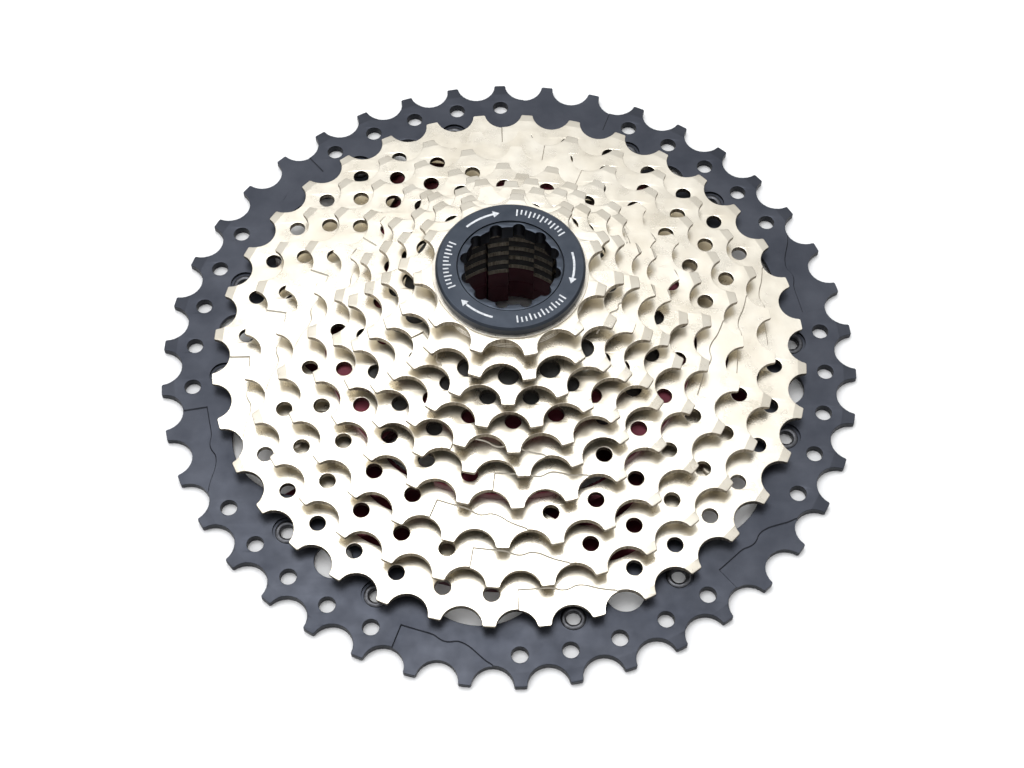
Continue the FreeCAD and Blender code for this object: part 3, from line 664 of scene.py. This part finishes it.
def make_lockring():
    low, face = heights("lockring")
    dish = face - DISH_DEPTH
    socket = dish - SOCKET_DEPTH
    seat = face - FLANGE_HEIGHT
    outline = bmesh.new()
    draw_circle(outline, DISH_RADIUS, Vector(), segments=128)
    draw_scalloped_edge(outline, LOBE_RADIUS, NOTCH_RADIUS, NOTCH_CIRCLE, FIRST_NOTCH,
                        count=NOTCHES, scallop_steps=10, inner_steps=6)
    notched = solid_from_outline(outline, socket, dish, SOCKET_EDGE)
    inner = DISH_RADIUS + RIM_GAP
    joint = DISH_RADIUS - OVERLAP
    section = [(inner, dish - RIM_GAP_DEPTH), (inner, face), (FLANGE_RADIUS - FLANGE_CHAMFER, face),
               (FLANGE_RADIUS, face - FLANGE_CHAMFER), (FLANGE_RADIUS, seat), (THREAD_ROOT, seat)]
    for ridge in range(THREAD_TURNS):
        top = seat - (ridge + 0.5) * THREAD_PITCH
        section += [(THREAD_ROOT, top), (THREAD_CREST, top - THREAD_PITCH / 2)]
    section += [(THREAD_ROOT, seat - (THREAD_TURNS + 0.5) * THREAD_PITCH), (THREAD_ROOT, low),
                (BARREL_BORE, low), (BARREL_BORE, socket), (joint, socket),
                (joint, dish - RIM_GAP_DEPTH)]
    rim = bmesh.new()
    turn_section(rim, section)
    bmesh.ops.recalc_face_normals(rim, faces=rim.faces)
    break_edges(rim, RIM_EDGE, angle=32)
    add_shell(notched, rim)
    return notched


piece = finish_piece(make_lockring(), "lockring_body", "lockring", "lockring_anodised", "lockring")
print(piece.name, "has", len(piece.data.polygons), "faces")

# %% [markdown]
# The lockring's face is printed. Here the print is a plain one: bent arrows that show which way it
# tightens, and rows of short marks like those round a dial. Ink is thin, so each mark is a plate
# a few hundredths of a millimetre thick that stands on the face.

# %% The lockring's print
INK_LOW = -0.02
INK_HIGH = 0.03
INK_EDGE = 0.004
MARK_INNER = 13.6
MARK_OUTER = 15.4
MARK_SHORTENED = 0.5
MARK_WIDTH = 1.4
MARK_STEP = 4
MARKS = 13
MARK_ROWS = (60, 180, 300)
ARROWS = (120, 240, 0)
ARROW_MIDDLE = 14.5
ARROW_SHAFT = 0.5
ARROW_HALF_LENGTH = 14
ARROW_HEAD = 6


def draw_mark(bm, inner, middle):
    start, end = middle - MARK_WIDTH / 2, middle + MARK_WIDTH / 2
    close_chain(bm, [draw_arc(bm, Vector(), MARK_OUTER, start, end, 1),
                     draw_arc(bm, Vector(), inner, end, start, 1)])


def draw_arrow(bm, middle):
    """A bent shaft and a head that points clockwise."""
    start, end = middle - ARROW_HALF_LENGTH, middle + ARROW_HALF_LENGTH
    outer_arc = draw_arc(bm, Vector(), ARROW_MIDDLE + ARROW_SHAFT / 2, start, end, 12)
    inner_arc = draw_arc(bm, Vector(), ARROW_MIDDLE - ARROW_SHAFT / 2, end, start, 12)
    corner, point, far_corner = [
        bm.verts.new(polar(radius, start - reach))
        for radius, reach in ((MARK_INNER, 0), (ARROW_MIDDLE, ARROW_HEAD), (MARK_OUTER, 0))]
    bm.edges.new((corner, point))
    close_chain(bm, [outer_arc, inner_arc, (corner, point), (far_corner, far_corner)])


def make_print():
    face = heights("lockring")[1]
    outline = bmesh.new()
    for middle in MARK_ROWS:
        for mark in range(MARKS):
            inner = MARK_INNER + (MARK_SHORTENED if mark % 3 else 0)
            draw_mark(outline, inner, middle + (mark - (MARKS - 1) / 2) * MARK_STEP)
    for middle in ARROWS:
        draw_arrow(outline, middle)
    return solid_from_outline(outline, face + INK_LOW, face + INK_HIGH, INK_EDGE, 0)


piece = finish_piece(make_print(), "lockring_print", None, "lockring_anodised", "lockring",
                     finish="printed_ink")
print(piece.name, "has", len(piece.data.polygons), "faces")

# %% [markdown]
# Twelve hollow rivets hold the largest sprocket. Each is a short tube whose ends were rolled over,
# so its lips are rounded. One is turned about its own centre for each place.

# %% The hollow rivets
EYELET_BORE = 1.7
EYELET_TUBE = 2.4
EYELET_LIP = 3.0
LIP_HEIGHT = 0.35


def make_eyelets():
    low, high = heights("eyelets_42t")
    middle = (EYELET_BORE + EYELET_LIP) / 2
    half = (EYELET_LIP - EYELET_BORE) / 2
    start = high - LIP_HEIGHT
    angles = [math.radians(angle) for angle in range(0, 181, 30)]
    top = [(middle + half * math.cos(angle), start + LIP_HEIGHT * math.sin(angle))
           for angle in angles]
    bottom = [(radius, low + high - height) for radius, height in reversed(top)]
    section = [(EYELET_TUBE, low + LIP_HEIGHT), (EYELET_TUBE, start), *top, *bottom]
    made = bmesh.new()
    for spot in eyelet_spots:
        turn_section(made, section, spot, steps=28)
    bmesh.ops.recalc_face_normals(made, faces=made.faces)
    return made


piece = finish_piece(make_eyelets(), "eyelets", "eyelets_42t", "eyelet_steel")
print(piece.name, "has", len(piece.data.polygons), "faces")

# %% [markdown]
# The carriers, spacers, washer and solid rivets have the right shape already. Only their edges are
# too sharp. A copy of each is merged, its flat faces are joined up again with a limited dissolve,
# and its edges are broken, by less on the thin washer and the small rivets.

# %% Pieces that only need their edges broken
EDGES = {
    "large_carrier": 0.2, "small_carrier": 0.2, "support_ring_19t": 0.15, "lockring_washer": 0.06,
    "spacer_21_24": 0.2, "spacer_19_21": 0.2, "spacer_17_19": 0.2, "spacer_15_17": 0.2,
    "spacer_13_15": 0.2, "rivets_36t": 0.05, "rivets_32t": 0.05, "rivets_28t": 0.05,
}
slots = {row["node"]: row["material_slot"] for row in frame["record"]["subparts"]}


def refine(node, edge):
    """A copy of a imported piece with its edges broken."""
    bm = bmesh.new()
    bm.from_mesh(frame["nodes"][node].data)
    bmesh.ops.remove_doubles(bm, verts=bm.verts, dist=2 * MERGE)
    bmesh.ops.dissolve_limit(bm, angle_limit=math.radians(1), verts=bm.verts, edges=bm.edges,
                             use_dissolve_boundaries=False)
    break_edges(bm, edge)
    body = "washer" if node == "lockring_washer" else "cassette"
    return finish_piece(bm, f"{node}_finished", node, slots[node], body)


for node, edge in EDGES.items():
    piece = refine(node, edge)
    print(piece.name, "has", len(piece.data.polygons), "faces")

# %% [markdown]
# Each finish is a small tree of nodes. One function adds a node with its settings and links, and
# one turns the sRGB hex colours that a paint chart gives into the linear numbers that the renderer
# wants. A pattern's scale comes from a real size in millimetres: a noise of scale 1000 has
# features about a millimetre across, because objects here are in metres.

# %% Helpers for the materials
def linear(hex_colour):
    """An sRGB hex colour as linear red, green, blue and alpha."""
    channels = [int(hex_colour[place:place + 2], 16) / 255 for place in (1, 3, 5)]
    return (*[c / 12.92 if c <= 0.04045 else ((c + 0.055) / 1.055) ** 2.4 for c in channels], 1)


def per_mm(size):
    """Scale of a noise whose features are this many millimetres across."""
    return 1 / (size * MM)


def add_node(tree, kind, inputs=(), **settings):
    """Adds one node. Inputs are pairs of a socket's name or number and a value or a link."""
    node = tree.nodes.new(kind)
    for name, setting in settings.items():
        setattr(node, name, setting)
    for socket, source in dict(inputs).items():
        if isinstance(source, bpy.types.NodeSocket):
            tree.links.new(source, node.inputs[socket])
        else:
            node.inputs[socket].default_value = source
    return node


def start_material(name, metallic):
    """A material with an empty Principled shader, and the object's own coordinates."""
    material = bpy.data.materials.new(name)
    material.use_nodes = True
    tree = material.node_tree
    tree.nodes.clear()
    shader = add_node(tree, "ShaderNodeBsdfPrincipled", {"Metallic": metallic})
    add_node(tree, "ShaderNodeOutputMaterial", {"Surface": shader.outputs["BSDF"]})
    place = add_node(tree, "ShaderNodeTexCoord")
    return material, tree, shader, place


def noise_between(tree, place, size, low, high, detail=3, stretch=None):
    """A noise of a given feature size, in millimetres, spread over a range of values.

    Noise seldom leaves 0.3 to 0.7, so that much of it is stretched over the whole range.
    """
    vector = place
    if stretch:
        vector = add_node(tree, "ShaderNodeMapping", {"Vector": place, "Scale": stretch}).outputs[0]
    noise = add_node(tree, "ShaderNodeTexNoise",
                     {"Vector": vector, "Scale": per_mm(size), "Detail": detail, "Roughness": 0.55})
    spread = add_node(tree, "ShaderNodeMapRange", {"Value": noise.outputs["Fac"], "From Min": 0.3,
                                                   "From Max": 0.7, "To Min": low, "To Max": high})
    return spread.outputs["Result"]


def blend_colours(tree, share, first, second):
    mix = add_node(tree, "ShaderNodeMix", {0: share, 6: first, 7: second}, data_type="RGBA")
    return mix.outputs[2]


def two_tone(tree, place, size, first, second, detail=3, stretch=None):
    """Drifts between two hex colours, in patches of a size in millimetres."""
    share = noise_between(tree, place, size, 0, 1, detail, stretch)
    return blend_colours(tree, share, linear(first), linear(second))


def set_skin(tree, shader, colour, roughness):
    tree.links.new(colour, shader.inputs["Base Color"])
    tree.links.new(roughness, shader.inputs["Roughness"])


def add_bump(tree, shader, height, depth):
    """Relief of a depth in millimetres."""
    bump = add_node(tree, "ShaderNodeBump", {"Height": height, "Distance": depth * MM})
    tree.links.new(bump.outputs["Normal"], shader.inputs["Normal"])


def facing_up(tree, place):
    """0 on an upright wall and 1 on a flat face, from the surface's own direction."""
    parts = add_node(tree, "ShaderNodeSeparateXYZ", {0: place.outputs["Normal"]})
    size = add_node(tree, "ShaderNodeMath", {0: parts.outputs["Z"]}, operation="ABSOLUTE")
    ramp = add_node(tree, "ShaderNodeMapRange", {"Value": size.outputs[0], "From Min": 0.25,
                                                 "From Max": 0.97, "To Min": 0.0, "To Max": 1.0})
    return ramp.outputs["Result"]


def lathe_rings(tree, place, feed):
    """Fine rings round the axle, one for each turn of the lathe. At scale 1 one is pi / 10 wide."""
    rings = add_node(tree, "ShaderNodeTexWave",
                     {"Vector": place.outputs["Object"], "Scale": math.pi / 10 / (feed * MM),
                      "Distortion": 0.4, "Detail": 1.0},
                     wave_type="RINGS", rings_direction="Z")
    return rings.outputs["Fac"]


finishes = {}
print("mid grey #808080 is", round(linear("#808080")[0], 3), "in linear light")

# %% [markdown]
# The steel sprockets are stamped, ground flat and nickel plated. The flat faces are bright with a
# slight warm tint and a satin that varies in clouds. The stamped walls are another matter: a punch
# shears the steel, so they are rougher and streaked from face to face. Their browner, darker
# colour, which also lies on the rounded edges, is partly the sheared steel and partly painted shade
# and painted dark reflection. It stands in for the dark that walls and edges catch between the
# sprockets.

# %% Nickel-plated stamped steel
def nickel_plate():
    material, tree, shader, place = start_material("nickel_plated_steel", 1.0)
    here = place.outputs["Object"]
    face = facing_up(tree, place)
    streak = noise_between(tree, here, 0.45, 0, 1, 2, (1, 1, 0.08))
    plated = two_tone(tree, here, 9, "#e3ded2", "#d3ccbd")
    # Painted shade: the dark brown put on upright walls and rounded edges is partly the duller
    # sheared steel and partly stands for the shade and dark reflections they catch.
    sheared_steel_and_painted_shade = blend_colours(tree, streak, linear("#a39b8d"), linear("#665d50"))
    satin = noise_between(tree, here, 5, 0.24, 0.36)
    rough = add_node(tree, "ShaderNodeMix", {0: face, 2: 0.42, 3: satin})
    set_skin(tree, shader, blend_colours(tree, face, sheared_steel_and_painted_shade, plated), rough.outputs[0])
    grain = noise_between(tree, here, 0.5, 0, 1, 4)
    relief = add_node(tree, "ShaderNodeMix", {0: face, 2: streak, 3: grain})
    add_bump(tree, shader, relief.outputs[0], 0.006)
    return material


finishes["nickel_plate"] = nickel_plate()
print("made", finishes["nickel_plate"].name)

# %% [markdown]
# The largest sprocket is machined aluminium, blasted and anodised blue-black. The dyed oxide is a
# satin skin over metal, so it mirrors its surroundings darkly, in soft patches where the blasting
# was uneven. The upright walls are darker still.

# %% Blasted and black-anodised aluminium
def black_anodised():
    material, tree, shader, place = start_material("black_anodised_aluminium", 1.0)
    here = place.outputs["Object"]
    skin = two_tone(tree, here, 11, "#4b4e56", "#3d4048", 4)
    colour = blend_colours(tree, facing_up(tree, place), linear("#2a2c31"), skin)
    set_skin(tree, shader, colour, noise_between(tree, here, 6, 0.42, 0.54))
    add_bump(tree, shader, noise_between(tree, here, 0.4, 0, 1, 3), 0.006)
    return material


finishes["black_anodised"] = black_anodised()
print("made", finishes["black_anodised"].name)

# %% [markdown]
# The lockring is turned, so its satin slate-coloured anodising lies over fine rings.

# %% Turned and slate-anodised aluminium
def lockring_anodised():
    material, tree, shader, place = start_material("slate_anodised_aluminium", 1.0)
    here = place.outputs["Object"]
    set_skin(tree, shader, two_tone(tree, here, 4, "#3f444c", "#363b43"),
             noise_between(tree, here, 3, 0.32, 0.42))
    add_bump(tree, shader, lathe_rings(tree, place, 0.45), 0.003)
    return material


finishes["lockring_anodised"] = lockring_anodised()
print("made", finishes["lockring_anodised"].name)

# %% [markdown]
# The carriers and the support ring are turned aluminium in a deep maroon. The lathe's rings are
# coarser here, and the dye makes the skin a little less metallic.

# %% Turned and maroon-anodised aluminium
def maroon_anodised():
    material, tree, shader, place = start_material("maroon_anodised_aluminium", 0.7)
    here = place.outputs["Object"]
    set_skin(tree, shader, two_tone(tree, here, 7, "#541b28", "#421520"),
             noise_between(tree, here, 4, 0.28, 0.4))
    add_bump(tree, shader, lathe_rings(tree, place, 0.5), 0.006)
    return material


finishes["maroon_anodised"] = maroon_anodised()
print("made", finishes["maroon_anodised"].name)

# %% [markdown]
# The spacers are moulded in black nylon filled with glass fibre, which leaves a dull skin with a
# faint flow pattern and short pale fibres just under it.

# %% Moulded glass-filled nylon
def black_nylon():
    material, tree, shader, place = start_material("moulded_glass_filled_nylon", 0.0)
    here = place.outputs["Object"]
    fibre = noise_between(tree, here, 0.5, 0, 1, 4, (1, 1, 3))
    set_skin(tree, shader, blend_colours(tree, fibre, linear("#0f0f0e"), linear("#1d1c1b")),
             noise_between(tree, here, 2, 0.42, 0.6))
    shader.inputs["IOR"].default_value = 1.53
    add_bump(tree, shader, fibre, 0.01)
    return material


finishes["black_nylon"] = black_nylon()
print("made", finishes["black_nylon"].name)

# %% [markdown]
# Three small steel finishes: the washer is bright and brushed round, the solid rivets are as the
# heading tool left them, and the hollow rivets are blackened with their rolled lips rubbed bare.

# %% Washer and rivets
def brushed_washer():
    material, tree, shader, place = start_material("brushed_stainless_steel", 1.0)
    here = place.outputs["Object"]
    set_skin(tree, shader, two_tone(tree, here, 3, "#cfcac0", "#b5afa4"),
             noise_between(tree, here, 1, 0.26, 0.38))
    add_bump(tree, shader, lathe_rings(tree, place, 0.3), 0.003)
    return material


def headed_rivets():
    material, tree, shader, place = start_material("cold_headed_steel", 1.0)
    here = place.outputs["Object"]
    set_skin(tree, shader, two_tone(tree, here, 1.2, "#c4beb2", "#9b9488"),
             noise_between(tree, here, 0.8, 0.28, 0.42))
    add_bump(tree, shader, noise_between(tree, here, 0.35, 0, 1), 0.008)
    return material


def blackened_eyelets():
    material, tree, shader, place = start_material("blackened_rolled_steel", 1.0)
    here = place.outputs["Object"]
    worn = noise_between(tree, here, 1.0, 0.4, 1)
    bare = add_node(tree, "ShaderNodeMath", {0: facing_up(tree, place), 1: worn},
                    operation="MULTIPLY")
    set_skin(tree, shader,
             blend_colours(tree, bare.outputs[0], linear("#222327"), linear("#5d5e62")),
             noise_between(tree, here, 0.8, 0.3, 0.44))
    add_bump(tree, shader, noise_between(tree, here, 0.3, 0, 1), 0.008)
    return material


finishes["bright_steel"] = brushed_washer()
finishes["rivet_steel"] = headed_rivets()
finishes["eyelet_steel"] = blackened_eyelets()
print("made", [finishes[slot].name for slot in ("bright_steel", "rivet_steel", "eyelet_steel")])

# %% [markdown]
# The print is a thin pale ink, a little worn, over the anodising.

# %% Screen-printed ink
def printed_ink():
    material, tree, shader, place = start_material("screen_printed_ink", 0.0)
    here = place.outputs["Object"]
    set_skin(tree, shader, two_tone(tree, here, 0.6, "#dfe2e6", "#aeb3ba"),
             noise_between(tree, here, 0.6, 0.4, 0.6))
    shader.inputs["IOR"].default_value = 1.5
    return material


finishes["printed_ink"] = printed_ink()
for piece, slot in made_pieces.values():
    piece.data.materials.clear()
    piece.data.materials.append(finishes[slot])
print("materials on", len(made_pieces), "pieces")

# %% [markdown]
# The cassette lies on a plain white table, under a large soft light. Bright metal shows whatever
# is round it, so the sky matters more than the lamps: it is white overhead, where the flat faces
# look, and falls to a dim warm grey at the horizon, which is what the upright walls mirror. The
# Standard view transform keeps the table white, where the usual one would turn it grey.

# %% Table, sky and lamps
TABLE_COLOUR = "#f7f8fa"
SKY_COLOUR = "#ffffff"
HORIZON_COLOUR = "#958e84"
SKY_STRENGTH = 0.92
TABLE_GAP = 0.05


def make_table():
    bm = bmesh.new()
    bmesh.ops.create_grid(bm, x_segments=1, y_segments=1, size=3)
    bmesh.ops.translate(bm, verts=bm.verts, vec=(0, 0, -TABLE_GAP * MM))
    table = as_object(bm, "table")
    material, tree, shader, place = start_material("white_laminate", 0.0)
    colour = two_tone(tree, place.outputs["Object"], 60, TABLE_COLOUR, "#fafbfc")
    tree.links.new(colour, shader.inputs["Base Color"])
    shader.inputs["Roughness"].default_value = 0.7
    table.data.materials.append(material)


def make_sky():
    world = bpy.data.worlds.new("sky")
    world.use_nodes = True
    tree = world.node_tree
    tree.nodes.clear()
    place = add_node(tree, "ShaderNodeTexCoord")
    parts = add_node(tree, "ShaderNodeSeparateXYZ", {0: place.outputs["Generated"]})
    height = add_node(tree, "ShaderNodeMapRange",
                      {"Value": parts.outputs["Z"], "From Min": 0.05, "From Max": 0.55},
                      interpolation_type="SMOOTHSTEP")
    colour = blend_colours(tree, height.outputs["Result"],
                           linear(HORIZON_COLOUR), linear(SKY_COLOUR))
    sky = add_node(tree, "ShaderNodeBackground", {"Color": colour, "Strength": SKY_STRENGTH})
    add_node(tree, "ShaderNodeOutputWorld", {"Surface": sky.outputs[0]})
    bpy.context.scene.world = world


def add_lamp(name, spot, size, power):
    """A round lamp that looks at the origin. Metres and watts."""
    data = bpy.data.lights.new(name, "AREA")
    data.shape = "DISK"
    data.size = size
    data.energy = power
    lamp = bpy.data.objects.new(name, data)
    facing = (-Vector(spot)).to_track_quat("-Z", "Y").to_matrix().to_4x4()
    lamp.matrix_world = Matrix.Translation(spot) @ facing
    bpy.context.scene.collection.objects.link(lamp)


bpy.context.scene.view_settings.view_transform = "Standard"
make_table()
make_sky()
add_lamp("overhead", (-0.1, 0.2, 1.0), size=0.6, power=4.5)
add_lamp("left", (-0.9, -0.2, 0.8), size=0.8, power=2.6)
print("lit by the sky and two lamps")
